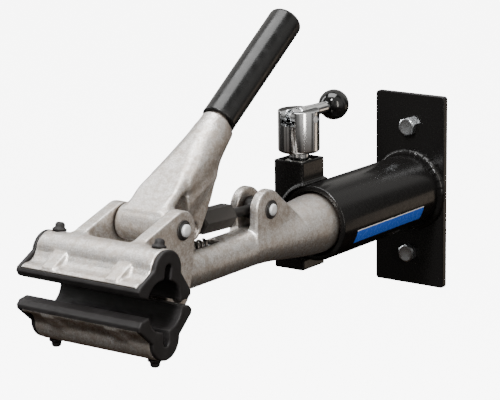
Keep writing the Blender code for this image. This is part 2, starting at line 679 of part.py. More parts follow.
def build_handle(jaw):
    axis = pivot("handle_axis", (0, *in_jaw(HANDLE_PIN)), jaw, HANDLE_RISE + JAW_TILT)
    casting = loft("handle", [section_ring(*row) for row in HANDLE_SECTIONS],
                   look=CAST, parent=axis)
    link = LINK_PIN_IN_HANDLE
    boss = 0.009
    leg = arc(link, boss, -165, -60, 10)
    leg += [(0.066, -0.0222), (0.092, -0.0110), (0.070, 0.004), (0.0300, 0.0080)]
    leg_half = 0.012
    core_start = 0.100
    core_end = GRIP_END - 0.006
    join(casting,
         cylinder("handle_barrel", 0.0135, 2 * BARREL_HALF, (0, 0, 0), ALONG_X, 40,
                  parent=axis),
         plate("handle_leg", leg, 2 * leg_half, parent=axis),
         cylinder("handle_core", HANDLE_CORE, core_end - core_start,
                  (0, (core_start + core_end) / 2, 0), ALONG_Y, 28, parent=axis))
    slot_half = 0.0059
    room = 0.0090
    cut(casting,
        box("link_slot", (-slot_half, link[0] - room, link[1] - 0.03),
            (slot_half, 0.062, link[1]), parent=axis),
        cylinder("link_slot_round", room, 2 * slot_half, (0, *link), ALONG_X, 32, parent=axis),
        cylinder("handle_bore", PIN_HOLE_RADIUS, THROUGH, (0, 0, 0), ALONG_X, 24, parent=axis),
        cylinder("link_bore", LINK_PIN_HOLE_RADIUS, THROUGH, (0, *link), ALONG_X, 24,
                 parent=axis))
    tip = 0.004
    profile = [(0, GRIP_END)]
    profile += [(r, h) for r, h in arc((GRIP_RADIUS - tip, GRIP_END - tip), tip, 90, 0, 4)]
    profile += [(GRIP_RADIUS, GRIP_START), (HANDLE_CORE + GAP, GRIP_START),
                (HANDLE_CORE + GAP, GRIP_END - 0.005), (0, GRIP_END - 0.005)]
    turned("grip", profile, 32, look=VINYL, parent=axis, turn=ALONG_Y)
    pinned("link_front_pin", (0, *link), leg_half - 0.0008, LINK_PIN_RADIUS, axis)
    return axis


# ---------------------------------------------------------------- adjusting link
def eye_outline(length, radius):
    """A round-ended outline that lets the rear pin move forward in its eye."""
    rear = arc((length, 0), radius, -90, 90, 14)
    return rear + arc((length - EYE_TRAVEL, 0), radius, 90, 270, 14)


def build_link(handle):
    """The link from the handle's rear pin back to the arm's lugs."""
    along = LINK_PIN_IN_HANDLE[0]
    across = LINK_PIN_IN_HANDLE[1]
    pin_y = HANDLE_PIN[0] + along * cos(HANDLE_RISE) - across * sin(HANDLE_RISE)
    pin_z = HANDLE_PIN[1] + along * sin(HANDLE_RISE) + across * cos(HANDLE_RISE)
    run = REAR_PIN[0] - pin_y
    drop = REAR_PIN[1] - pin_z
    length = hypot(run, drop)
    axis = pivot("link_axis", (0, *LINK_PIN_IN_HANDLE), handle, atan2(drop, run) - HANDLE_RISE)
    front = cylinder("front_eye", 0.0076, 2 * EYE_HALF, (0, 0, 0), ALONG_X, 32,
                     look=BLACK_STEEL, parent=axis)
    rod_end = 0.036
    join(front, cylinder("front_rod", ROD_RADIUS, rod_end, (0, rod_end / 2, 0), ALONG_Y, 24,
                         parent=axis))
    cut(front, cylinder("front_eye_bore", LINK_PIN_HOLE_RADIUS, THROUGH, (0, 0, 0), ALONG_X, 24,
                        parent=axis))
    rear = plate("rear_eye", eye_outline(length, EYE_SLOT_RADIUS + 0.0034), 2 * EYE_HALF,
                 look=BLACK_STEEL, parent=axis)
    rod_start = 0.041
    rod_stop = length - EYE_TRAVEL - EYE_SLOT_RADIUS - 0.001
    join(rear, cylinder("rear_rod", ROD_RADIUS, rod_stop - rod_start,
                        (0, (rod_start + rod_stop) / 2, 0), ALONG_Y, 24, parent=axis))
    cut(rear, plate("rear_eye_slot", eye_outline(length, EYE_SLOT_RADIUS), 0.03, parent=axis))
    body = cylinder("turnbuckle", HEX_FLATS / sqrt(3), HEX_END - HEX_START,
                    (0, (HEX_START + HEX_END) / 2, 0), (pi / 2, pi / 6, 0), 6,
                    look=BLACK_STEEL, parent=axis)
    cut(body, cylinder("turnbuckle_bore", ROD_RADIUS + GAP, 0.08, (0, 0.04, 0), ALONG_Y, 24,
                       parent=axis))


def build():
    root = pivot("wall_origin", (0, 0, 0))
    build_wall_plate()
    build_socket()
    build_housing()
    build_shoes(root)
    build_lever(build_barrel(root))
    turn = pivot("arm_axis", (0, 0, 0), root)
    build_arm(turn)
    build_arm_pieces(turn)
    build_link(build_handle(build_upper_jaw(turn)))


build()
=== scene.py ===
"""Looks of the wall-mounted bike repair stand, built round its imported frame.

Castings and moulded pieces are distance fields meshed on a grid, which gives them
their fillets and rounded edges. Turned, plated and painted pieces are made from
profiles. All lengths are metres, and places come from the frame.
"""

import json
from itertools import product
from math import atan2, cos, hypot, pi, radians, sin, sqrt

import bmesh
import bpy
import numpy as np
from mathutils import Matrix, Vector


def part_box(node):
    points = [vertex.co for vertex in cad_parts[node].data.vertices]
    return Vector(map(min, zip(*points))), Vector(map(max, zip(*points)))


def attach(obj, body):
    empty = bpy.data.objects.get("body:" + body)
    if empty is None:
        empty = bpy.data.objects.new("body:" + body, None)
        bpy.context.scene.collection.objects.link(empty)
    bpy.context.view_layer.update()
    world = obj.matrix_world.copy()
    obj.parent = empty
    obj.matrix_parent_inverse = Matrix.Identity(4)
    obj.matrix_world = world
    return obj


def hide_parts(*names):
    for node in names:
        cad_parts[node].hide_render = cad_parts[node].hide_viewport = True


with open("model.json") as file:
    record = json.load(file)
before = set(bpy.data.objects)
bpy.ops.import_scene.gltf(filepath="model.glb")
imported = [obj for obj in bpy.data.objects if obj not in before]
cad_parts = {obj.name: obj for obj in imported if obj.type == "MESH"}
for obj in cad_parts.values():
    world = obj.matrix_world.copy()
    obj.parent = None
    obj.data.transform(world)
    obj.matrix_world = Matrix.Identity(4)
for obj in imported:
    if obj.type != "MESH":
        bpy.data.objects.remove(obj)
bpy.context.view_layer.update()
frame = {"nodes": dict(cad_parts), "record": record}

JOINTS = {joint["name"]: joint for joint in frame["record"]["behaviour"]["joints"]}


def joint_place(name):
    """Y and Z of a joint's axis."""
    return tuple(JOINTS[name]["pos_m"][1:])


def node_middle(name):
    low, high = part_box(name)
    return (low + high) / 2


# ------------------------------------------------ sizes
GAP = 0.0003
JAW_PIN = joint_place("jaw_open")
HANDLE_PIN = joint_place("handle_swing")
LINK_PIN = joint_place("link_swing")
REAR_PIN = tuple(node_middle("rear_link_pin")[1:])
JAW_TILT = radians(13.7)
HANDLE_RISE = radians(35.6)
LINK_IN_HANDLE = (0.025, -0.0303)

BARREL_AXIS = tuple(JOINTS["barrel_turn"]["pos_m"][:2])
CAM_PIN_Z = JOINTS["lever_swing"]["pos_m"][2]

TUBE_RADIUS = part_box("socket_tube")[1].x
TUBE_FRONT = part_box("socket_tube")[0].y
PLATE_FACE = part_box("wall_plate")[0].y
BORE_RADIUS = 0.027
SHAFT_RADIUS = 0.0252
GROOVE_RADIUS = 0.0195
ARM_RADIUS = 0.016

PIN_HOLE = 0.0051
LINK_PIN_HOLE = 0.0038
EAR_INNER = 0.0226
EAR_OUTER = 0.0335
BARREL_HALF = 0.0222
KNUCKLE_RADIUS = 0.0145
EYE_RADIUS = 0.0145
LUG_INNER = 0.006
LUG_OUTER = 0.0138

JAW_HALF = 0.0542
COVER_END = 0.058
LOWER_JAW = (-0.4303, -0.002)
UPPER_JAW = (-0.0483, -0.0022)
DOME_Z = -0.0205
DOME_RADIUS = 0.016
LINER_DOME = 0.0102
LIP_OUTER = (0.0303, -0.008)
LIP_INNER = (0.0266, -0.004)
PEG_X = 0.0468
PEG_RADIUS = 0.0038
PEG_HOLE = 0.0042
PEG_ROOT = -0.026
RIB_X = 0.030
RIB_HALF = 0.0052

STEP = 0.0008             # grid of the big castings
FINE = 0.0005             # grid of the small pieces
CASTING_REACH = 0.0555    # half width of a jaw casting's grid
COVER_REACH = 0.0595      # half width of a rubber cover's grid

ALONG_X = Matrix.Rotation(pi / 2, 4, "Y")
ALONG_Y = Matrix.Rotation(-pi / 2, 4, "X")


# ------------------------------------------------ materials
class Look:
    """A Principled material whose textures follow the object's own coordinates."""

    def __init__(self, name, colour, roughness, metallic=0.0, **sockets):
        self.material = bpy.data.materials.new(name)
        self.material.use_nodes = True
        self.tree = self.material.node_tree
        self.shader = self.tree.nodes["Principled BSDF"]
        self.set("Base Color", (*colour, 1))
        self.set("Roughness", roughness)
        self.set("Metallic", metallic)
        for socket, value in sockets.items():
            self.set(socket.replace("_", " "), value)
        self.place = self.add("ShaderNodeTexCoord").outputs["Object"]

    def set(self, socket, value):
        self.shader.inputs[socket].default_value = value

    def add(self, kind, inputs=None, **settings):
        node = self.tree.nodes.new(kind)
        for key, value in settings.items():
            setattr(node, key, value)
        for key, value in (inputs or {}).items():
            if isinstance(value, bpy.types.NodeSocket):
                self.tree.links.new(value, node.inputs[key])
            else:
                node.inputs[key].default_value = value
        return node

    def drive(self, socket, source):
        self.tree.links.new(source, self.shader.inputs[socket])

    def noise(self, scale, detail=4.0, roughness=0.6, stretch=(1, 1, 1)):
        moved = self.add("ShaderNodeMapping", {"Vector": self.place, "Scale": stretch})
        made = self.add("ShaderNodeTexNoise", {
            "Vector": moved.outputs["Vector"], "Scale": scale, "Detail": detail,
            "Roughness": roughness})
        return made.outputs["Fac"]

    def maths(self, operation, first, second=0.0, clamp=False):
        made = self.add("ShaderNodeMath", {0: first, 1: second}, operation=operation,
                        use_clamp=clamp)
        return made.outputs[0]

    def between(self, source, low, high, start=0.0, end=1.0):
        """Map a value's range low..high to start..end, smoothly and clamped."""
        made = self.add("ShaderNodeMapRange", {
            "Value": source, "From Min": low, "From Max": high, "To Min": start,
            "To Max": end}, interpolation_type="SMOOTHSTEP")
        return made.outputs["Result"]

    def mix(self, share, first, second):
        made = self.add("ShaderNodeMix", data_type="RGBA")
        for index, value in ((0, share), (6, first), (7, second)):
            if isinstance(value, bpy.types.NodeSocket):
                self.tree.links.new(value, made.inputs[index])
            else:
                made.inputs[index].default_value = value if index == 0 else (*value, 1)
        return made.outputs[2]

    def bump(self, height, distance, strength=1.0):
        made = self.add("ShaderNodeBump", {
            "Height": height, "Distance": distance, "Strength": strength})
        self.drive("Normal", made.outputs["Normal"])

    def shade_mask(self, distance):
        """1 on open surfaces, falling towards 0 in corners where shade falls."""
        made = self.add("ShaderNodeAmbientOcclusion", {"Distance": distance}, samples=6)
        return made.outputs["AO"]

    def edges(self):
        """0 on flat surfaces, 1 on worn outer edges."""
        made = self.add("ShaderNodeNewGeometry")
        return self.between(made.outputs["Pointiness"], 0.52, 0.60)


def cast_look():
    """Tumbled raw casting: mottled satin grey with painted shade, dark brown, in its corners, and
    polished edges.
    """
    look = Look("cast_aluminium", (0.6, 0.575, 0.545), 0.42, 0.82)
    grain = look.noise(850, 3, 0.7)
    blotch = look.noise(170, 5, 0.7)
    cloud = look.noise(34, 3, 0.5)
    light = look.mix(look.between(grain, 0.36, 0.64), (0.46, 0.435, 0.405), (0.72, 0.70, 0.68))
    stain = look.mix(look.between(blotch, 0.42, 0.62, 0.0, 0.70), light, (0.36, 0.305, 0.255))
    warm = look.mix(look.between(cloud, 0.45, 0.7, 0.0, 0.35), stain, (0.50, 0.42, 0.345))
    # painted shade: ambient occlusion darkens the colour towards dark brown in corners and
    # recesses
    deep = look.mix(look.between(look.shade_mask(0.009), 0.30, 0.92), (0.13, 0.105, 0.085), warm)
    worn = look.mix(look.maths("MULTIPLY", look.edges(), 0.35), deep, (0.86, 0.85, 0.835))
    look.drive("Base Color", worn)
    look.drive("Roughness", look.between(blotch, 0.3, 0.7, 0.29, 0.47))
    height = look.maths("ADD", look.maths("MULTIPLY", grain, 0.6), blotch)
    look.bump(height, 0.0007, 0.5)
    return look.material


def paint_look():
    """Gloss black powder coat with a little orange peel."""
    look = Look("black_paint", (0.005, 0.0047, 0.0046), 0.24, Specular_IOR_Level=0.2,
                Coat_Weight=0.12, Coat_Roughness=0.06)
    peel = look.noise(420, 2, 0.5)
    dust = look.noise(2600, 2, 0.6)
    look.drive("Base Color", look.mix(look.between(dust, 0.55, 0.8), (0.0045, 0.0042, 0.0041),
                                      (0.010, 0.009, 0.0085)))
    look.drive("Roughness", look.between(peel, 0.3, 0.7, 0.20, 0.30))
    look.bump(peel, 0.0003, 0.05)
    return look


def decal_look():
    """The tube's powder coat, with a plain band and a thin line over it."""
    look = paint_look()
    look.material.name = "painted_tube"
    parts = look.add("ShaderNodeSeparateXYZ", {0: look.place}).outputs
    turn = look.maths("ARCTAN2", parts[2], parts[0])
    height = look.maths("MULTIPLY", turn, TUBE_RADIUS)
    bottom, top = -0.0187, -0.0070
    line = 0.0009
    start, end = -0.1372, -0.0326

    def inside(value, low, high):
        soft = 0.00012
        rise = look.between(value, low - soft, low + soft)
        fall = look.between(value, high - soft, high + soft, 1.0, 0.0)
        return look.maths("MULTIPLY", rise, fall)

    length = look.maths("MULTIPLY", inside(parts[1], start, end), look.between(parts[0], 0, 0.001))
    band = look.maths("MULTIPLY", length, inside(height, bottom, top))
    stripe = look.maths("MULTIPLY", length, inside(height, top, top + line))
    black = look.shader.inputs["Base Color"].links[0].from_socket
    blue = look.mix(band, black, (0.032, 0.125, 0.60))
    look.drive("Base Color", look.mix(stripe, blue, (0.9, 0.9, 0.9)))
    return look.material


def plated_look(name, colour, roughness, brushed, spread, metallic=1.0):
    """Bright plating with fine turning marks and faint cloudiness."""
    look = Look(name, colour, roughness, metallic)
    marks = look.noise(700, 3, 0.6, brushed)
    cloud = look.noise(160, 4, 0.6)
    dull = tuple(0.72 * c for c in colour)
    look.drive("Base Color", look.mix(look.between(cloud, 0.4, 0.75, 0.0, 0.6), colour, dull))
    look.drive("Roughness", look.between(marks, 0.3, 0.7, roughness - spread,
                                         roughness + spread))
    look.bump(marks, 0.0002, 0.03)
    return look.material


def moulded_look(name, colour, roughness, scale, depth, worn=(0.06, 0.055, 0.052),
                 gloss=0.5):
    """Moulded rubber or plastic: fine grain, slight wear on edges."""
    look = Look(name, colour, roughness, Specular_IOR_Level=gloss)
    grain = look.noise(scale, 3, 0.6)
    cloud = look.noise(90, 4, 0.6)
    pale = tuple(1.7 * c + 0.002 for c in colour)
    base = look.mix(look.between(cloud, 0.4, 0.75, 0.0, 0.7), colour, pale)
    look.drive("Base Color", look.mix(look.maths("MULTIPLY", look.edges(), 0.5), base, worn))
    look.drive("Roughness", look.between(cloud, 0.3, 0.7, roughness - 0.06, roughness + 0.08))
    look.bump(grain, depth, 0.3)
    return look.material


CAST = cast_look()
PAINT = paint_look().material
TUBE_PAINT = decal_look()
ZINC = plated_look("bright_zinc", (0.62, 0.645, 0.665), 0.30, (1, 1, 1), 0.08)
CHROME = plated_look("chrome", (0.80, 0.81, 0.82), 0.13, (1, 1, 6), 0.04)
PIN_STEEL = plated_look("pin_steel", (0.90, 0.92, 0.93), 0.42, (1, 4, 4), 0.06, 0.55)
BLACK_STEEL = moulded_look("black_steel", (0.0075, 0.0066, 0.0062), 0.40, 900, 0.0002,
                           (0.06, 0.055, 0.05), 0.32)
RUBBER = moulded_look("rubber", (0.0075, 0.0065, 0.0065), 0.62, 1500, 0.0003,
                      (0.014, 0.012, 0.012), 0.3)
VINYL = moulded_look("vinyl", (0.005, 0.005, 0.005), 0.27, 260, 0.0003, (0.02, 0.02, 0.02),
                     0.35)
BALL = moulded_look("ball_plastic", (0.005, 0.005, 0.005), 0.12, 200, 0.0001,
                    (0.01, 0.01, 0.01))
BUSH = moulded_look("bush_plastic", (0.04, 0.04, 0.042), 0.5, 900, 0.0002)
WASHER = moulded_look("washer_nylon", (0.62, 0.60, 0.55), 0.45, 900, 0.0002,
                      (0.75, 0.74, 0.70))
SPRING = plated_look("spring_steel", (0.13, 0.12, 0.11), 0.32, (1, 1, 1), 0.06)


# ------------------------------------------------ piece helpers
def show(obj, body, slot, look, *nodes):
    """Dress a piece, and let it stand for CAD nodes on its body."""
    obj.data.materials.clear()
    obj.data.materials.append(look)
    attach(obj, body)
    if nodes:
        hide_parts(*nodes)
    return obj


def link_object(name, mesh):
    obj = bpy.data.objects.new(name, mesh)
    bpy.context.scene.collection.objects.link(obj)
    return obj


def from_bmesh(name, bm, place=Matrix(), sharp=40):
    bmesh.ops.remove_doubles(bm, verts=bm.verts, dist=1e-7)
    bmesh.ops.recalc_face_normals(bm, faces=bm.faces)
    bm.transform(place)
    mesh = bpy.data.meshes.new(name)
    bm.to_mesh(mesh)
    bm.free()
    mesh.shade_smooth()
    mesh.set_sharp_from_angle(angle=radians(sharp))
    return link_object(name, mesh)


def spun(name, profile, place=Matrix(), steps=72, closed=False, sharp=40):
    """Turn a profile of (radius, height) about Z, then place it."""
    bm = bmesh.new()
    rows = []
    for step in range(steps):
        angle = 2 * pi * step / steps
        rows.append([bm.verts.new((r * cos(angle), r * sin(angle), h)) for r, h in profile])
    count = len(profile)
    for near, far in zip(rows, rows[1:] + rows[:1]):
        for i in range(count if closed else count - 1):
            j = (i + 1) % count
            bm.faces.new((near[i], far[i], far[j], near[j]))
    return from_bmesh(name, bm, place, sharp)


def round_bar(name, radius, start, end, place=Matrix(), steps=48):
    """A plain bar, used as a cutter or a core."""
    return spun(name, [(0, start), (radius, start), (radius, end), (0, end)], place, steps)


def arc(centre, radius, start, end, steps=10):
    """Points along an arc, angles in degrees."""
    points = []
    for i in range(steps + 1):
        angle = radians(start + (end - start) * i / steps)
        points.append((centre[0] + radius * cos(angle), centre[1] + radius * sin(angle)))
    return points


def block(name, low, high):
    """A box between two corners, used as a cutter."""
    bm = bmesh.new()
    bmesh.ops.create_cube(bm, size=1)
    size = Vector(high) - Vector(low)
    middle = (Vector(high) + Vector(low)) / 2
    return from_bmesh(name, bm, Matrix.Translation(middle) @ Matrix.Diagonal((*size, 1)), 30)


def carve(obj, tool, operation="DIFFERENCE"):
    """Apply a Boolean and drop its tool."""
    step = obj.modifiers.new("Carve", "BOOLEAN")
    step.operation = operation
    step.object = tool
    bpy.context.view_layer.update()
    graph = bpy.context.evaluated_depsgraph_get()
    mesh = bpy.data.meshes.new_from_object(obj.evaluated_get(graph))
    obj.modifiers.clear()
    obj.data = mesh
    bpy.data.objects.remove(tool, do_unlink=True)
    mesh.shade_smooth()
    mesh.set_sharp_from_angle(angle=radians(35))
    return obj


def soften(obj, width, segments=3, angle=35):
    """Bevel what the modelling left sharp."""
    step = obj.modifiers.new("Soften", "BEVEL")
    step.width = width
    step.segments = segments
    step.limit_method = "ANGLE"
    step.angle_limit = radians(angle)
    step.harden_normals = True
    return obj


# ------------------------------------------------ distance fields
def smooth_min(first, second, reach):
    """Union of two fields with a fillet where they meet."""
    share = np.clip(0.5 + 0.5 * (second - first) / reach, 0, 1)
    return second + (first - second) * share - reach * share * (1 - share)


def smooth_max(first, second, reach):
    """Intersection of two fields with a rounded edge."""
    return -smooth_min(-first, -second, reach)


def cut_from(field, tool, reach=0.0008):
    return smooth_max(field, -tool, reach)


def smooth_step(value, low, high):
    share = np.clip((value - low) / (high - low), 0, 1)
    return share * share * (3 - 2 * share)


def outline_field(y, z, points):
    """Signed distance to a closed outline in the Y-Z plane."""
    best = np.float32(1.0)
    inside = np.zeros(np.broadcast(y, z).shape, bool)
    for (y0, z0), (y1, z1) in zip(points, points[1:] + points[:1]):
        run, rise = y1 - y0, z1 - z0
        from_y, from_z = y - y0, z - z0
        share = np.clip((from_y * run + from_z * rise) / (run * run + rise * rise), 0, 1)
        best = np.minimum(best, (from_y - run * share) ** 2 + (from_z - rise * share) ** 2)
        if rise:
            inside ^= ((z0 > z) != (z1 > z)) & (from_y < run * from_z / rise)
    return np.where(inside, -1, 1) * np.sqrt(best)


def rod_x(y, z, centre, radius):
    """A round rod along X."""
    return np.hypot(y - centre[0], z - centre[1]) - radius


def slab(value, start, end):
    """The stretch of one coordinate between two values."""
    return np.abs(value - (start + end) / 2) - (end - start) / 2


def round_corner(first, second, radius):
    """Two crossing slabs, each already drawn in by the radius, joined at a round corner."""
    return (np.hypot(np.maximum(first, 0), np.maximum(second, 0))
            + np.minimum(np.maximum(first, second), 0) - radius)


def block_field(x, y, z, low, high):
    """An exact box between two corners."""
    parts = [slab(*sides) for sides in zip((x, y, z), low, high)]
    outside = np.sqrt(sum(np.maximum(part, 0) ** 2 for part in parts))
    return outside + np.minimum(np.maximum(np.maximum(parts[0], parts[1]), parts[2]), 0)


def surface_nets(values, low, step):
    """One point in each cell that the surface crosses, and a quad round each crossed edge."""
    inside = values < 0
    shape = tuple(n - 1 for n in values.shape)
    count = np.zeros(shape, np.int8)
    for corner in product((0, 1), repeat=3):
        window = tuple(slice(c, c + n) for c, n in zip(corner, shape))
        count += inside[window]
    active = (count > 0) & (count < 8)
    cells = np.argwhere(active)
    number = np.full(shape, -1, np.int64)
    number[active] = np.arange(len(cells))
    total = np.zeros((len(cells), 3))
    hits = np.zeros(len(cells))
    quads = []
    for axis in range(3):
        unit = np.eye(3, dtype=int)[axis]
        side_a = np.eye(3, dtype=int)[(axis + 1) % 3]
        side_b = np.eye(3, dtype=int)[(axis + 2) % 3]
        for a, b in product((0, 1), repeat=2):
            start = cells + a * side_a + b * side_b
            near = values[tuple(start.T)]
            far = values[tuple((start + unit).T)]
            crossed = (near < 0) != (far < 0)
            share = near[crossed] / (near[crossed] - far[crossed])
            total[crossed] += start[crossed] + share[:, None] * unit
            hits[crossed] += 1
        ahead = np.take(inside, np.arange(1, inside.shape[axis]), axis)
        behind = np.take(inside, np.arange(inside.shape[axis] - 1), axis)
        edges = np.argwhere(ahead != behind)
        limit = np.array(shape)
        kept = np.all((edges - side_a - side_b >= 0) & (edges < limit), axis=1)
        edges = edges[kept]
        ring = [number[tuple((edges - shift).T)]
                for shift in (0 * unit, side_a, side_a + side_b, side_b)]
        faces = np.stack(ring, 1)
        outward = behind[tuple(edges.T)]
        faces[~outward] = faces[~outward][:, ::-1]
        quads.append(faces)
    points = np.array(low) + step * total / hits[:, None]
    return points, np.concatenate(quads)


def sculpt(name, low, high, step, field, place=Matrix()):
    """Mesh a field between two corners of a grid."""
    axes = [np.arange(a, b + step, step, dtype=np.float32) for a, b in zip(low, high)]
    x, y, z = np.meshgrid(*axes, indexing="ij", sparse=True)
    values = np.ascontiguousarray(
        np.broadcast_to(field(x, y, z), tuple(len(axis) for axis in axes)), np.float32)
    points, quads = surface_nets(values, low, step)
    mesh = bpy.data.meshes.new(name)
    mesh.vertices.add(len(points))
    mesh.vertices.foreach_set("co", points.astype(np.float32).ravel())
    mesh.loops.add(quads.size)
    mesh.loops.foreach_set("vertex_index", quads.astype(np.int32).ravel())
    mesh.polygons.add(len(quads))
    mesh.polygons.foreach_set("loop_start", np.arange(0, quads.size, 4, dtype=np.int32))
    mesh.update(calc_edges=True)
    mesh.validate()
    mesh.transform(place)
    mesh.shade_smooth()
    return link_object(name, mesh)


# ------------------------------------------------ jaw sections
def flipped(y, z, centre, flip):
    """Coordinates from the middle of a jaw's mouth, with the mouth towards +Z."""
    return np.abs(y - centre[0]), flip * (z - centre[1])


def closed_half(half):
    """Close a right half across the centre line, past it so that the seam lies inside."""
    return [(-0.001, half[0][1])] + half + [(-0.001, half[-1][1])]


def bell_half(radius, *ends):
    return arc((0, DOME_Z), radius, -90, 0, 10) + list(ends)


def mouth_half():
    """The rubber's mouth from the outer lip in to the bottom of the keyhole."""
    arch = arc((0.0035, 0.0018), 0.0157, -6, -82, 8)
    return ([(0.0309, -0.0045), (0.0275, -0.001)] + arch + [(0.0036, -0.0145)]
            + arc((0, DOME_Z - 0.0018), 0.0036, 0, -90, 6))


def cavity_field(side, up):
    """The room in a jaw casting for its rubber."""
    mouth = (LIP_INNER[0] + 0.004, 0.006)
    return outline_field(side, up, closed_half(
        bell_half(LINER_DOME + GAP, LIP_INNER, mouth)))


def casting_field(x, y, z, centre, flip):
    """A jaw casting: bell section with a hollow waist, left full at two ribs."""
    side, up = flipped(y, z, centre, flip)
    bell = outline_field(side, up, closed_half(bell_half(DOME_RADIUS, LIP_OUTER, LIP_INNER)))
    run, rise = LIP_OUTER[0] - DOME_RADIUS, LIP_OUTER[1] - DOME_Z
    length = hypot(run, rise)
    waist_radius, depth = 0.0105, 0.0024
    stand_off = waist_radius - depth
    share = 0.38              # how far down the flank the waist lies
    waist_y = DOME_RADIUS + run * share + rise / length * stand_off
    waist_z = DOME_Z + rise * share - run / length * stand_off
    waist = np.hypot(side - waist_y, up - waist_z) - waist_radius
    rib = RIB_HALF + 1.3 * (waist + depth) - np.abs(np.abs(x) - RIB_X)
    shell = smooth_max(bell, np.abs(x) - JAW_HALF, 0.0012)
    shell = cut_from(shell, smooth_max(waist, rib, 0.0010), 0.0016)
    proud, pad_half, pad_up, pad_tall = 0.0013, 0.0062, -0.0160, 0.0068
    pad = smooth_max(bell - proud, np.abs(np.abs(x) - RIB_X) - pad_half, 0.0016)
    pad = smooth_max(pad, np.abs(up - pad_up) - pad_tall, 0.0024)
    shell = smooth_min(shell, pad, 0.0012)
    shell = cut_from(shell, cavity_field(side, up), 0.0008)
    peg = np.hypot(np.abs(x) - PEG_X, y - centre[0]) - PEG_HOLE
    return cut_from(shell, np.maximum(peg, up - PEG_ROOT), 0.001)


def cover_field(x, y, z, centre, flip):
    """The rubber: a liner wrapped over the casting's lips, end plates and pegs."""
    side, up = flipped(y, z, centre, flip)
    liner_out = bell_half(LINER_DOME, (LIP_INNER[0] - 0.0003, LIP_INNER[1] + 0.0004),
                          (LIP_OUTER[0] + 0.0003, LIP_OUTER[1] + 0.0005))
    liner = outline_field(side, up, closed_half(liner_out + mouth_half()))
    plate_out = bell_half(DOME_RADIUS - 0.0003, (LIP_OUTER[0], LIP_OUTER[1] + 0.0002))
    plate = outline_field(side, up, closed_half(plate_out + mouth_half()))
    length = smooth_max(liner, np.abs(x) - JAW_HALF - 0.001, 0.0010)
    thick = (COVER_END - JAW_HALF - GAP) / 2
    ends = smooth_max(plate, np.abs(np.abs(x) - COVER_END + thick) - thick, 0.0011)
    field = np.minimum(length, ends)
    axis = np.hypot(np.abs(x) - PEG_X, y - centre[0])
    crown = DOME_Z - DOME_RADIUS
    tip = crown - 0.0066
    peg = smooth_max(axis - PEG_RADIUS, slab(up, tip, PEG_ROOT), 0.0030)
    collar = smooth_max(axis - 0.0056, np.abs(up - crown + 0.0008) - 0.0011, 0.0012)
    return np.minimum(field, smooth_min(peg, collar, 0.0012))


# ------------------------------------------------ cast arm
def arm_field(x, y, z):
    taper_start, taper_end = -0.252, -0.150
    reach = smooth_step(y, taper_start, taper_end)
    radius = ARM_RADIUS + (SHAFT_RADIUS - ARM_RADIUS) * reach
    across = np.hypot(x, z)
    bar = smooth_max(across - radius, JAW_PIN[0] - y, 0.002)

    lug_centre = (REAR_PIN[0] - 0.0023, REAR_PIN[1] - 0.0002)
    lug_radius = 0.0167
    lug = [(-0.200, 0.002), (-0.200, 0.0190)]
    lug += arc(lug_centre, lug_radius, 44, 180, 16)
    lug += [(lug_centre[0] - lug_radius, 0.002)]
    lugs = smooth_max(outline_field(y, z, lug), slab(np.abs(x), LUG_INNER, LUG_OUTER), 0.0016)
    field = smooth_min(bar, lugs, 0.0045)

    knuckle = smooth_max(rod_x(y, z, JAW_PIN, KNUCKLE_RADIUS - 0.0005),
                         np.abs(x) - BARREL_HALF, 0.003)
    field = smooth_min(field, knuckle, 0.004)
    neck = [(-0.372, -0.0150), (-0.372, 0.0), (-0.392, -0.0105), (-0.4050, -0.0130),
            (-0.4135, -0.0225), (-0.404, -0.0300), (-0.390, -0.0205)]
    necks = smooth_max(outline_field(y, z, neck), np.abs(x) - BARREL_HALF + 0.001, 0.003)
    field = smooth_min(field, necks, 0.004)
    jaw = casting_field(x, y, z, LOWER_JAW, 1)
    inside = cavity_field(*flipped(y, z, LOWER_JAW, 1))
    field = np.maximum(smooth_min(field, jaw, 0.004), -inside)

    holes = np.minimum(rod_x(y, z, JAW_PIN, PIN_HOLE), rod_x(y, z, REAR_PIN, PIN_HOLE))
    field = cut_from(field, holes, 0.0012)
    channel = block_field(x, y, z, (-0.0056, -0.3605, 0.0062), (0.0056, -0.2945, 0.03))
    relief = block_field(x, y, z, (-0.03, -0.3825, 0.0125), (0.03, -0.3600, 0.03))
    field = cut_from(field, channel, 0.0016)
    return cut_from(field, relief, 0.003)


def make_arm():
    low = (-CASTING_REACH, -0.4625, -0.0400)
    high = (CASTING_REACH, TUBE_FRONT + 0.004, 0.0475)
    casting = sculpt("arm_casting", low, high, STEP, arm_field)
    show(casting, "arm", "cast_aluminium", CAST, "clamp_arm")
    start = TUBE_FRONT + 0.001
    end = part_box("clamp_arm")[1].y
    groove_start, groove_end = -0.1556, -0.1274
    profile = [(0, start), (0.0247, start), (GROOVE_RADIUS + 0.004, groove_start - 0.001),
               (GROOVE_RADIUS, groove_start), (GROOVE_RADIUS, groove_end),
               (SHAFT_RADIUS - 0.0008, groove_end), (SHAFT_RADIUS, groove_end + 0.0008),
               (SHAFT_RADIUS, end - 0.001), (SHAFT_RADIUS - 0.001, end), (0, end)]
    shaft = spun("arm_shaft", profile, ALONG_Y, 96)
    show(shaft, "arm", "cast_aluminium", CAST, "clamp_arm")


def make_cover(name, node, centre, flip, body, place=Matrix()):
    deep, shallow = 0.0475, 0.002
    below, above = (deep, shallow) if flip > 0 else (shallow, deep)
    low = (-COVER_REACH, centre[0] - 0.033, centre[1] - below)
    high = (COVER_REACH, centre[0] + 0.033, centre[1] + above)
    cover = sculpt(name, low, high, 0.0006,
                   lambda x, y, z: cover_field(x, y, z, centre, flip), place)
    show(cover, body, "rubber", RUBBER, node)


# ------------------------------------------------ upper jaw
JAW_PLACE = Matrix.Translation((0, *JAW_PIN)) @ Matrix.Rotation(-JAW_TILT, 4, "X")


def in_jaw(point):
    """Y and Z of a point in the upper jaw's own frame."""
    moved = JAW_PLACE.inverted() @ Vector((0, *point))
    return moved.y, moved.z


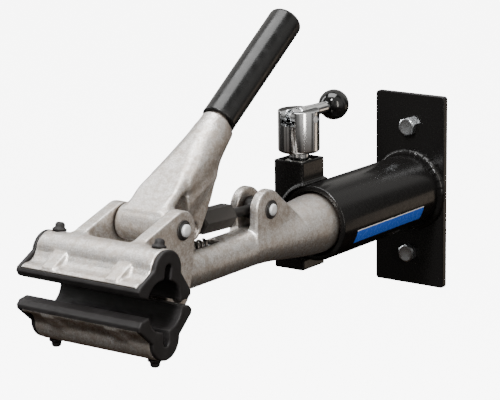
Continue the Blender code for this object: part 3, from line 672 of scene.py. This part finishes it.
def jaw_field(x, y, z):
    eye = in_jaw(HANDLE_PIN)
    bell_top = UPPER_JAW[1] - DOME_Z + DOME_RADIUS
    ear = arc((0, 0), KNUCKLE_RADIUS, -170, 0, 16)
    ear += [(0.0146, 0.020)]
    ear += arc(eye, EYE_RADIUS, 5, 122, 16)
    ear += [(-0.0440, bell_top + 0.0045), (-0.0520, bell_top - 0.0015), (-0.048, 0.026),
            (-0.030, 0.0145), (-0.0180, 0.0070)]
    ears = smooth_max(outline_field(y, z, ear), slab(np.abs(x), EAR_INNER, EAR_OUTER), 0.0013)
    casting = casting_field(x, y, z, UPPER_JAW, -1)
    inside = cavity_field(*flipped(y, z, UPPER_JAW, -1))
    field = np.maximum(smooth_min(casting, ears, 0.0032), -inside)
    bores = np.minimum(rod_x(y, z, (0, 0), PIN_HOLE), rod_x(y, z, eye, PIN_HOLE))
    return cut_from(field, bores, 0.0012)


def make_upper_jaw():
    low = (-CASTING_REACH, -0.0805, -0.0165)
    high = (CASTING_REACH, 0.0165, 0.0630)
    casting = sculpt("jaw_casting", low, high, STEP, jaw_field, JAW_PLACE)
    show(casting, "jaw", "cast_aluminium", CAST, "upper_jaw")


# ------------------------------------------------ handle
HANDLE_PLACE = Matrix.Translation((0, *HANDLE_PIN)) @ Matrix.Rotation(HANDLE_RISE, 4, "X")
GRIP_START = 0.110
GRIP_END = 0.2253
GRIP_RADIUS = 0.0138
GRIP_BORE = 0.0103
SPIGOT_RADIUS = 0.0100
LEG_HALF = 0.0145
SECTION_ALONG = (0.0, 0.025, 0.045, 0.065, 0.085, 0.1085)
SECTION_HALF = (0.0198, 0.0195, 0.0183, 0.0160, 0.0132, 0.0123)
SECTION_TOP = (0.0133, 0.0132, 0.0130, 0.0128, 0.0125, 0.0123)
SECTION_BOTTOM = (0.0010, 0.0058, -0.0050, -0.0110, -0.0124, -0.0123)
SECTION_ROUND = (0.0045, 0.0060, 0.0105, 0.0122, 0.0123, 0.0123)


def spread(y, values):
    """Sections' values along the handle, eased between the sections."""
    flat = np.interp(y.ravel(), SECTION_ALONG, values)
    width = 15                # grid points averaged
    padded = np.pad(flat, width // 2, mode="edge")
    return np.convolve(padded, np.ones(width) / width, "valid").reshape(y.shape)


def handle_field(x, y, z):
    half, top, bottom = (spread(y, v) for v in (SECTION_HALF, SECTION_TOP, SECTION_BOTTOM))
    tall = (top - bottom) / 2
    corner = np.minimum(spread(y, SECTION_ROUND), tall * 0.98)
    beside = np.abs(x) - half + corner
    above = np.abs(z - (top + bottom) / 2) - tall + corner
    body = round_corner(beside, above, corner)
    body = smooth_max(body, np.maximum(0.002 - y, y - GRIP_START + 0.0015), 0.002)

    link = LINK_IN_HANDLE
    leg = arc(link, 0.009, -165, -60, 12)
    leg += [(0.066, -0.0236), (0.1085, -0.0118), (0.095, 0.004), (0.0420, 0.0080),
            (0.0305, 0.0)]
    upper = smooth_step(y, 0.050, 0.085)
    flare = 0.0042 * smooth_step(z, -0.024, -0.006)
    width = np.minimum(LEG_HALF + flare, half)
    legs = smooth_max(outline_field(y, z, leg), np.abs(x) - width, 0.0022 + 0.009 * upper)
    field = smooth_min(body, legs, 0.0042 + 0.0045 * upper)
    barrel = smooth_max(rod_x(y, z, (0, 0), 0.0135), np.abs(x) - BARREL_HALF, 0.0025)
    field = smooth_min(field, barrel, 0.0045)
    spigot = smooth_max(np.hypot(x, z) - SPIGOT_RADIUS, np.abs(y - 0.112) - 0.012, 0.001)
    field = np.minimum(field, spigot)

    slot_half, room = 0.0059, 0.0090
    slot = block_field(x, y, z, (-slot_half, link[0] - room, link[1] - 0.03),
                       (slot_half, 0.062, link[1]))
    rounding = np.maximum(rod_x(y, z, link, room), np.abs(x) - slot_half)
    field = cut_from(field, np.minimum(slot, rounding), 0.0012)
    holes = np.minimum(rod_x(y, z, (0, 0), PIN_HOLE), rod_x(y, z, link, LINK_PIN_HOLE))
    recess = np.maximum(rod_x(y, z, link, 0.0056), 0.0125 - np.abs(x))
    return cut_from(field, np.minimum(holes, recess), 0.0010)


def make_handle():
    low = (-0.0230, -0.0150, -0.0405)
    high = (0.0230, 0.1245, 0.0150)
    casting = sculpt("handle_casting", low, high, 0.0007, handle_field, HANDLE_PLACE)
    show(casting, "handle_body", "cast_aluminium", CAST, "handle")
    tip = 0.0042
    lip = 0.0011
    profile = [(0, GRIP_END)]
    profile += arc((GRIP_RADIUS - tip, GRIP_END - tip), tip, 90, 0, 8)
    profile += [(GRIP_RADIUS, 0.180), (GRIP_RADIUS - 0.0002, GRIP_START + 0.004)]
    profile += arc((GRIP_RADIUS - lip, GRIP_START + lip), lip, 0, -90, 5)
    bottom = GRIP_END - 0.004
    profile += [(GRIP_BORE, GRIP_START), (GRIP_BORE, bottom), (0, bottom)]
    grip = spun("handle_grip", profile, HANDLE_PLACE @ ALONG_Y, 96)
    show(grip, "handle_body", "vinyl", VINYL, "grip")


# ------------------------------------------------ pins and rings
def make_pin(name, node, body, chamfer=0.0007):
    """A cross pin with chamfered, faintly domed ends, on its node's own axis."""
    low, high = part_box(node)
    middle = (low + high) / 2
    half = (high.x - low.x) / 2
    radius = (high.z - low.z) / 2
    profile = [(0, half + 0.0002), (radius * 0.5, half + 0.00015),
               (radius - chamfer, half), (radius, half - chamfer)]
    profile += [(r, -h) for r, h in reversed(profile)]
    pin = spun(name, profile, Matrix.Translation(middle) @ ALONG_X, 48)
    show(pin, body, "pin_steel", PIN_STEEL, node)


def make_rings(stem, name, pin_node, body):
    """A domed push-on ring round each end of a cross pin."""
    pin_low, pin_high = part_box(pin_node)
    hole = (pin_high.z - pin_low.z) / 2 + 0.00015
    for word, side in (("right", 1), ("left", -1)):
        low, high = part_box(f"{stem}_ring_{word}")
        middle = (low + high) / 2
        rim = (high.z - low.z) / 2
        thick = high.x - low.x
        base = -thick / 2
        profile = [(rim, base), (rim, base + thick * 0.45), (rim - 0.0004, base + thick * 0.7),
                   (rim - 0.0012, base + thick * 0.75), (hole + 0.0009, thick * 0.95),
                   (hole + 0.0003, thick * 0.9), (hole, thick * 0.6), (hole, base)]
        turn = ALONG_X if side > 0 else Matrix.Rotation(-pi / 2, 4, "Y")
        ring = spun(f"{name}_{word}", profile, Matrix.Translation(middle) @ turn, 48, True)
        show(ring, body, "black_steel", BLACK_STEEL, f"{stem}_ring_{word}")


# ------------------------------------------------ spring
def make_spring():
    """Rear loop, close coil, then a long hook for the jaw's pin."""
    anchor = tuple(node_middle("spring_anchor_pin")[1:])
    hook_pin = tuple(node_middle("spring_hook_pin")[1:])
    front, rear = -0.350, -0.3085
    coil_radius, wire, axis_z, turns = 0.0040, 0.00115, 0.0142, 8
    route = [(0, y, z) for y, z in arc(anchor, 0.0029, -150, 110, 16)]
    points = 24
    for i in range(turns * points + 1):
        angle = 2 * pi * i / points
        along = rear + (front - rear) * i / (turns * points)
        route.append((coil_radius * sin(angle), along, axis_z + coil_radius * cos(angle)))
    hook = 0.0047
    centre = (hook_pin[0] + hook - 0.0015 - wire - GAP, hook_pin[1])
    route.append((0, front - 0.004, axis_z + coil_radius - 0.0015))
    route.append((0, front - 0.008, centre[1] - hook))
    route += [(0, y, z) for y, z in arc(centre, hook, 270, 90, 14)]
    data = bpy.data.curves.new("coil_spring", "CURVE")
    data.dimensions = "3D"
    data.bevel_depth = wire
    data.bevel_resolution = 3
    data.use_fill_caps = True
    line = data.splines.new("POLY")
    line.points.add(len(route) - 1)
    for point, place in zip(line.points, route):
        point.co = (*place, 1)
    line.use_smooth = True
    spring = bpy.data.objects.new("coil_spring", data)
    bpy.context.scene.collection.objects.link(spring)
    show(spring, "arm", "spring_steel", SPRING, "return_spring")


# ------------------------------------------------ adjusting link
LINK_DROP = atan2(REAR_PIN[1] - LINK_PIN[1], REAR_PIN[0] - LINK_PIN[0])
LINK_LENGTH = hypot(REAR_PIN[1] - LINK_PIN[1], REAR_PIN[0] - LINK_PIN[0])
LINK_PLACE = Matrix.Translation((0, *LINK_PIN)) @ Matrix.Rotation(LINK_DROP, 4, "X")
EYE_HALF = 0.0054
EYE_TRAVEL = 0.0034
EYE_SLOT = 0.0055
ROD_RADIUS = 0.004
HEX_FLATS = 0.0178


def front_eye_field(x, y, z):
    eye = smooth_max(rod_x(y, z, (0, 0), 0.0076), np.abs(x) - EYE_HALF, 0.0016)
    rod = smooth_max(np.hypot(x, z) - ROD_RADIUS, slab(y, 0, 0.036), 0.0008)
    field = smooth_min(eye, rod, 0.0025)
    return cut_from(field, rod_x(y, z, (0, 0), LINK_PIN_HOLE), 0.0008)


def rear_eye_field(x, y, z):
    along = y - np.clip(y, LINK_LENGTH - EYE_TRAVEL, LINK_LENGTH)
    outer = np.hypot(along, z) - EYE_SLOT - 0.0034
    eye = smooth_max(outer, np.abs(x) - EYE_HALF, 0.0016)
    start = 0.041
    end = LINK_LENGTH - EYE_TRAVEL - EYE_SLOT - 0.001
    rod = smooth_max(np.hypot(x, z) - ROD_RADIUS, slab(y, start, end), 0.0008)
    field = smooth_min(eye, rod, 0.003)
    return cut_from(field, np.hypot(along, z) - EYE_SLOT, 0.0008)


def make_link():
    front = sculpt("link_front_eye", (-0.0065, -0.0090, -0.0090), (0.0065, 0.0375, 0.0090),
                   FINE, front_eye_field, LINK_PLACE)
    show(front, "link", "black_steel", BLACK_STEEL, "front_eye")
    rear = sculpt("link_rear_eye", (-0.0065, 0.0395, -0.0100),
                  (0.0065, LINK_LENGTH + 0.0105, 0.0100), FINE, rear_eye_field, LINK_PLACE)
    show(rear, "link", "black_steel", BLACK_STEEL, "rear_eye")
    start, end = 0.022, 0.062
    corner = HEX_FLATS / sqrt(3)
    bm = bmesh.new()
    bmesh.ops.create_cone(bm, cap_ends=True, segments=6, radius1=corner, radius2=corner,
                          depth=end - start)
    turned = Matrix.Rotation(pi / 2, 4, "X") @ Matrix.Rotation(pi / 6, 4, "Z")
    place = LINK_PLACE @ Matrix.Translation((0, (start + end) / 2, 0))
    body = from_bmesh("adjuster_body", bm, place @ turned)
    flat = HEX_FLATS / 2
    chamfer = 0.0021
    shape = [(0, start), (flat - 0.001, start), (corner + 0.0004, start + chamfer),
             (corner + 0.0004, end - chamfer), (flat - 0.001, end), (0, end)]
    carve(body, spun("adjuster_chamfer", shape, LINK_PLACE @ ALONG_Y, 96), "INTERSECT")
    bore = round_bar("adjuster_bore", ROD_RADIUS + GAP, start - 0.01, end + 0.01,
                     LINK_PLACE @ ALONG_Y)
    carve(body, bore)
    show(soften(body, 0.0003, 2), "adjuster", "black_steel", BLACK_STEEL, "turnbuckle")


# ------------------------------------------------ wall mount
def make_plate():
    """A flat bar cut square, with small round corners and a soft front edge."""
    low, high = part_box("wall_plate")
    corner = 0.0028
    outline = []
    for x, z, start in ((1, 1, 0), (-1, 1, 90), (-1, -1, 180), (1, -1, 270)):
        centre = (x * (high.x - corner), z * (high.z - corner))
        outline += arc(centre, corner, start, start + 90, 6)
    bm = bmesh.new()
    face = bm.faces.new([bm.verts.new((x, high.y, z)) for x, z in outline])
    made = bmesh.ops.extrude_face_region(bm, geom=[face])
    moved = [item for item in made["geom"] if isinstance(item, bmesh.types.BMVert)]
    bmesh.ops.translate(bm, verts=moved, vec=(0, low.y - high.y, 0))
    plate = from_bmesh("mount_plate", bm)
    show(soften(plate, 0.0009, 3, 50), "wall_mount", "black_paint", PAINT, "wall_plate")


def make_lag_bolt(word):
    low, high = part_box(f"lag_bolt_{word}")
    middle = node_middle(f"lag_bolt_{word}")
    front = low.y
    height, flats, shank_radius = 0.0062, 0.0143, 0.0048
    corner = flats / sqrt(3)
    turn = radians(12 if word == "upper" else -4)
    bm = bmesh.new()
    bmesh.ops.create_cone(bm, cap_ends=True, segments=6, radius1=corner, radius2=corner,
                          depth=height)
    turned = ALONG_Y @ Matrix.Rotation(turn, 4, "Z")
    place = Matrix.Translation((middle.x, front + height / 2, middle.z))
    head = from_bmesh(f"lag_screw_{word}", bm, place @ turned)
    shape = [(0, 0.0003), (0.003, 0.0002), (flats / 2 - 0.0007, 0), (corner + 0.0002, 0.0013),
             (corner + 0.0002, height), (0, height)]
    inward = Matrix.Translation((middle.x, front, middle.z)) @ ALONG_Y
    carve(head, spun("bolt_dome", shape, inward, 72), "INTERSECT")
    shank = round_bar("bolt_shank", shank_radius, height - 0.001, high.y - front, inward, 36)
    carve(head, shank, "UNION")
    show(soften(head, 0.00025, 2), "wall_mount", "bright_zinc", ZINC, f"lag_bolt_{word}")


def make_tube():
    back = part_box("socket_tube")[1].y
    edge = 0.0012
    profile = [(TUBE_RADIUS, back)]
    profile += arc((TUBE_RADIUS - edge, TUBE_FRONT + edge), edge, 0, -90, 5)
    profile += arc((BORE_RADIUS + edge, TUBE_FRONT + edge), edge, -90, -180, 5)
    profile += [(BORE_RADIUS, back)]
    tube = spun("mount_tube", profile, ALONG_Y, 128, True)
    low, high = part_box("lock_housing")
    wall, tall = 0.003, 0.045
    carve(tube, block("shoe_passage", (low.x + wall - 0.01, low.y + wall, -tall),
                      (high.x - wall, high.y - wall, tall)))
    show(tube, "wall_mount", "black_paint", TUBE_PAINT, "socket_tube")


def make_weld():
    """The bead between tube and plate, laid in overlapping ripples."""
    ripples = 34
    around = ripples * 8
    bm = bmesh.new()
    rows = []
    for i in range(around):
        angle = 2 * pi * i / around
        phase = (ripples * angle / (2 * pi)) % 1.0
        lit = max(0, cos(angle - radians(52))) ** 6
        size = 0.0060 * (1 + (0.03 + 0.14 * lit) * (1 - phase) ** 1.5
                         + 0.10 * lit + 0.04 * sin(5 * angle) + 0.03 * sin(9 * angle + 1))
        row = [(TUBE_RADIUS - 0.0006, PLATE_FACE + 0.0002)]
        for j in range(9):
            lean = radians(90 * j / 8)
            belly = size * (0.80 + 0.12 * sin(2 * lean))
            row.append((TUBE_RADIUS + belly * cos(lean) - 0.0002,
                        PLATE_FACE - belly * sin(lean) + 0.0002))
        rows.append([bm.verts.new((r * cos(angle), y, r * sin(angle))) for r, y in row])
    count = len(rows[0])
    for near, far in zip(rows, rows[1:] + rows[:1]):
        for i in range(count):
            j = (i + 1) % count
            bm.faces.new((near[i], far[i], far[j], near[j]))
    weld = from_bmesh("tube_weld", bm, sharp=70)
    show(weld, "wall_mount", "black_paint", PAINT, "plate_weld")


def housing_field(x, y, z):
    low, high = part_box("lock_housing")
    centre = (low + high) / 2
    half = (high - low) / 2
    wall = 0.003
    corner = 0.0022

    def square(inset, rounding):
        beside = np.abs(x - centre.x) - half.x + inset + rounding
        ahead = np.abs(y - centre.y) - half.y + inset + rounding
        return round_corner(beside, ahead, rounding)

    outside = smooth_max(square(0, corner), np.abs(z - centre.z) - half.z, 0.0012)
    tube = np.hypot(x, z) - TUBE_RADIUS
    ripple = 0.0007 * np.sin(y * 2400) * np.sin(x * 1300 + z * 1700)
    near = smooth_max(tube - 0.0020, outside - 0.0035 + ripple, 0.003)
    bead = smooth_max(near, tube - 0.0046, 0.002)
    field = smooth_min(outside, bead, 0.0025)
    field = np.maximum(field, -tube + 0.0002)
    return cut_from(field, square(wall, 0.0008), 0.0008)


def make_housing():
    low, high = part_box("lock_housing")
    margin = Vector((0.006, 0.006, 0.002))
    housing = sculpt("lock_body", low - margin, high + margin, 0.0006, housing_field)
    show(housing, "wall_mount", "black_paint", PAINT, "lock_housing")


# ------------------------------------------------ cam lock
def make_barrel():
    low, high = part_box("cam_barrel")
    radius = (high.x - low.x) / 2
    top, bottom = high.z, 0.0556
    neck, edge = 0.0085, 0.0024
    profile = [(0, top), (radius - 0.0009, top)]
    profile += arc((radius - 0.0009, top - 0.0009), 0.0009, 90, 0, 4)
    profile += arc((radius - edge, bottom + edge), edge, 0, -70, 6)
    profile += [(neck + 0.001, bottom - 0.0002), (neck, bottom - 0.001), (neck, low.z),
                (0, low.z)]
    place = Matrix.Translation((*BARREL_AXIS, 0))
    barrel = spun("cam_head", profile, place, 96)
    slot, slot_floor = 0.0069, 0.0795
    x, y = BARREL_AXIS
    across = Matrix.Translation((x, y, CAM_PIN_Z)) @ ALONG_X
    carve(barrel, block("head_slot", (x - slot, y - 0.03, slot_floor),
                        (x + slot, y + 0.03, 0.11)))
    carve(barrel, round_bar("hub_room", 0.0083, -slot, slot, across, 64))
    carve(barrel, round_bar("draw_bolt_bore", 0.0044, 0.03, 0.09, place))
    carve(barrel, round_bar("cross_hole", 0.0032, -0.03, 0.03, across))
    show(soften(barrel, 0.0004, 3, 40), "cam_body", "chrome", CHROME, "cam_barrel")


def lever_field(x, y, z):
    """Forged hub with a rod that leaves it high, towards the wall."""
    ball = node_middle("lever_ball")
    aside = x - BARREL_AXIS[0]
    pin = (BARREL_AXIS[1], CAM_PIN_Z)
    hub_radius, hub_half, pin_hole = 0.0064, 0.0054, 0.0033
    hub = smooth_max(rod_x(y, z, pin, hub_radius), np.abs(aside) - hub_half, 0.0016)
    taper = smooth_step(y, pin[0] + 0.004, pin[0] + 0.028)
    rod = np.hypot(aside, z - ball.z) - (0.0057 - 0.0007 * taper)
    rod = smooth_max(rod, slab(y, pin[0], ball.y - 0.003), 0.001)
    field = smooth_min(hub, rod, 0.003)
    return cut_from(field, rod_x(y, z, pin, pin_hole), 0.0008)


def make_lever():
    ball = node_middle("lever_ball")
    low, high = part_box("lever_rod")
    margin = Vector((0.0015, 0.0015, 0.0015))
    lever = sculpt("lever_arm", low - margin, high + margin, 0.0004, lever_field)
    show(lever, "cam_lever", "chrome", CHROME, "lever_rod")
    low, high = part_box("lever_ball")
    radius = (high.z - low.z) / 2
    flat = 28                 # degrees of the ball faced off round its bore
    profile = arc((0, 0), radius, 90, -90 + flat, 28)
    rim, face = profile[-1]
    bore, depth = 0.0056, -0.002
    profile += [(rim - 0.0006, face - 0.0003), (bore, face - 0.0003), (bore, depth), (0, depth)]
    turned = Matrix.Translation((BARREL_AXIS[0], ball.y, ball.z)) @ ALONG_Y
    knob = spun("lever_knob", profile, turned, 72)
    show(knob, "cam_lever", "ball_plastic", BALL, "lever_ball")


# ------------------------------------------------ kept nodes
KEPT = {
    "shaft_bush_front": BUSH, "shaft_bush_rear": BUSH, "thrust_washer": WASHER,
    "upper_brake_shoe": BLACK_STEEL, "lower_brake_shoe": BLACK_STEEL,
    "draw_bolt": PIN_STEEL,
}


def dress_kept_nodes():
    for name, look in KEPT.items():
        for slot in frame["nodes"][name].material_slots:
            slot.material = look


# ------------------------------------------------ studio
def make_camera():
    """The same place, aim and lens as the reference view."""
    azimuth, elevation, roll = radians(35.924), radians(13.089), radians(-0.709)
    distance = 1.8575
    target = Vector((-0.069785, -0.150, 0.009592))
    back = Vector((sin(azimuth) * cos(elevation), -cos(azimuth) * cos(elevation),
                   sin(elevation)))
    right = Vector((cos(azimuth), sin(azimuth), 0))
    up = back.cross(right)
    turned = cos(roll) * right + sin(roll) * up
    raised = -sin(roll) * right + cos(roll) * up
    data = bpy.data.cameras.new("camera")
    data.sensor_width = 36
    data.lens = 157.6
    data.clip_end = 50
    camera = bpy.data.objects.new("camera", data)
    place = Matrix((turned, raised, back)).transposed().to_4x4()
    place.translation = target + back * distance
    camera.matrix_world = place
    bpy.context.scene.collection.objects.link(camera)
    bpy.context.scene.camera = camera


def make_floor():
    bm = bmesh.new()
    bmesh.ops.create_grid(bm, x_segments=1, y_segments=1, size=6)
    floor = from_bmesh("floor", bm, Matrix.Translation((0, 0, -0.55)))
    look = Look("floor_white", (0.95, 0.95, 0.95), 0.8, Emission_Color=(1, 1, 1, 1),
                Emission_Strength=7)
    look.drive("Roughness", look.between(look.noise(3), 0.3, 0.7, 0.75, 0.85))
    floor.data.materials.append(look.material)
    floor.visible_diffuse = False
    floor.visible_glossy = False


def area_light(name, place, aim, size, power, colour=(1, 1, 1)):
    data = bpy.data.lights.new(name, "AREA")
    data.shape = "RECTANGLE"
    data.size, data.size_y = size
    data.energy = power
    data.color = colour
    light = bpy.data.objects.new(name, data)
    light.location = place
    direction = Vector(aim) - Vector(place)
    light.rotation_euler = direction.to_track_quat("-Z", "Y").to_euler()
    bpy.context.scene.collection.objects.link(light)


def make_studio():
    """White surroundings over a warm dark ground, and soft lights."""
    world = bpy.data.worlds.new("studio")
    bpy.context.scene.world = world
    world.use_nodes = True
    tree = world.node_tree
    tree.nodes.clear()

    def add(kind, **settings):
        node = tree.nodes.new(kind)
        for key, value in settings.items():
            setattr(node, key, value)
        return node

    place = add("ShaderNodeTexCoord")
    parts = add("ShaderNodeSeparateXYZ")
    tree.links.new(place.outputs["Generated"], parts.inputs[0])
    rise = add("ShaderNodeValToRGB")
    stops = rise.color_ramp.elements
    stops[0].position, stops[0].color = 0.34, (0.045, 0.030, 0.021, 1)
    stops[1].position, stops[1].color = 0.54, (0.84, 0.82, 0.79, 1)
    shifted = add("ShaderNodeMath", operation="MULTIPLY_ADD")
    shifted.inputs[1].default_value = 0.5
    shifted.inputs[2].default_value = 0.5
    tree.links.new(parts.outputs[2], shifted.inputs[0])
    tree.links.new(shifted.outputs[0], rise.inputs[0])
    stretch = add("ShaderNodeMapping")
    stretch.inputs["Scale"].default_value = (1, 1, 0.2)
    tree.links.new(place.outputs["Generated"], stretch.inputs["Vector"])
    cards = add("ShaderNodeTexNoise")
    cards.inputs["Scale"].default_value = 1.5
    cards.inputs["Detail"].default_value = 1
    tree.links.new(stretch.outputs[0], cards.inputs["Vector"])
    power = add("ShaderNodeMapRange", interpolation_type="SMOOTHSTEP")
    for socket, value in (("From Min", 0.44), ("From Max", 0.58), ("To Min", 0.10),
                          ("To Max", 1.0)):
        power.inputs[socket].default_value = value
    tree.links.new(cards.outputs["Fac"], power.inputs["Value"])
    light = add("ShaderNodeBackground")
    tree.links.new(power.outputs["Result"], light.inputs["Strength"])
    tree.links.new(rise.outputs[0], light.inputs["Color"])
    seen = add("ShaderNodeBackground")
    seen.inputs["Color"].default_value = (1, 1, 1, 1)
    seen.inputs["Strength"].default_value = 2.6
    path = add("ShaderNodeLightPath")
    mixed = add("ShaderNodeMixShader")
    tree.links.new(path.outputs["Is Camera Ray"], mixed.inputs[0])
    tree.links.new(light.outputs[0], mixed.inputs[1])
    tree.links.new(seen.outputs[0], mixed.inputs[2])
    output = add("ShaderNodeOutputWorld")
    tree.links.new(mixed.outputs[0], output.inputs[0])
    middle = (0, -0.25, 0)
    area_light("key", (0.30, -1.75, 1.45), middle, (0.28, 0.9), 84)
    area_light("top", (-0.2, -0.3, 1.7), middle, (1.0, 1.4), 42)
    area_light("fill", (1.7, -0.9, 0.5), middle, (0.35, 1.4), 14, (1.0, 0.95, 0.89))
    area_light("rim", (-1.5, -0.5, 0.6), middle, (0.25, 1.4), 12)
    area_light("low", (1.1, 1.42, -0.4), middle, (0.6, 0.6), 1.2, (1.0, 0.82, 0.66))


# ------------------------------------------------ build
make_camera()
make_studio()
make_floor()
make_plate()
make_lag_bolt("upper")
make_lag_bolt("lower")
make_tube()
make_weld()
make_housing()
make_barrel()
make_lever()
make_pin("cross_pin", "cam_pin", "cam_body", 0.0004)
make_arm()
make_cover("lower_jaw_rubber", "lower_jaw_cover", LOWER_JAW, 1, "arm")
make_pin("rear_pin", "rear_link_pin", "arm")
make_rings("rear_pin", "rear_clip", "rear_link_pin", "arm")
make_pin("hinge_pin", "jaw_hinge_pin", "arm")
make_rings("jaw_pin", "hinge_clip", "jaw_hinge_pin", "arm")
make_spring()
make_pin("anchor_pin", "spring_anchor_pin", "arm", 0.0003)
make_upper_jaw()
make_cover("upper_jaw_rubber", "upper_jaw_cover", UPPER_JAW, -1, "jaw", JAW_PLACE)
make_pin("lever_pin", "handle_pin", "jaw")
make_rings("handle_pin", "lever_clip", "handle_pin", "jaw")
make_pin("hook_pin", "spring_hook_pin", "jaw", 0.0003)
make_handle()
make_pin("front_pin", "link_front_pin", "handle_body", 0.0004)
make_link()
dress_kept_nodes()
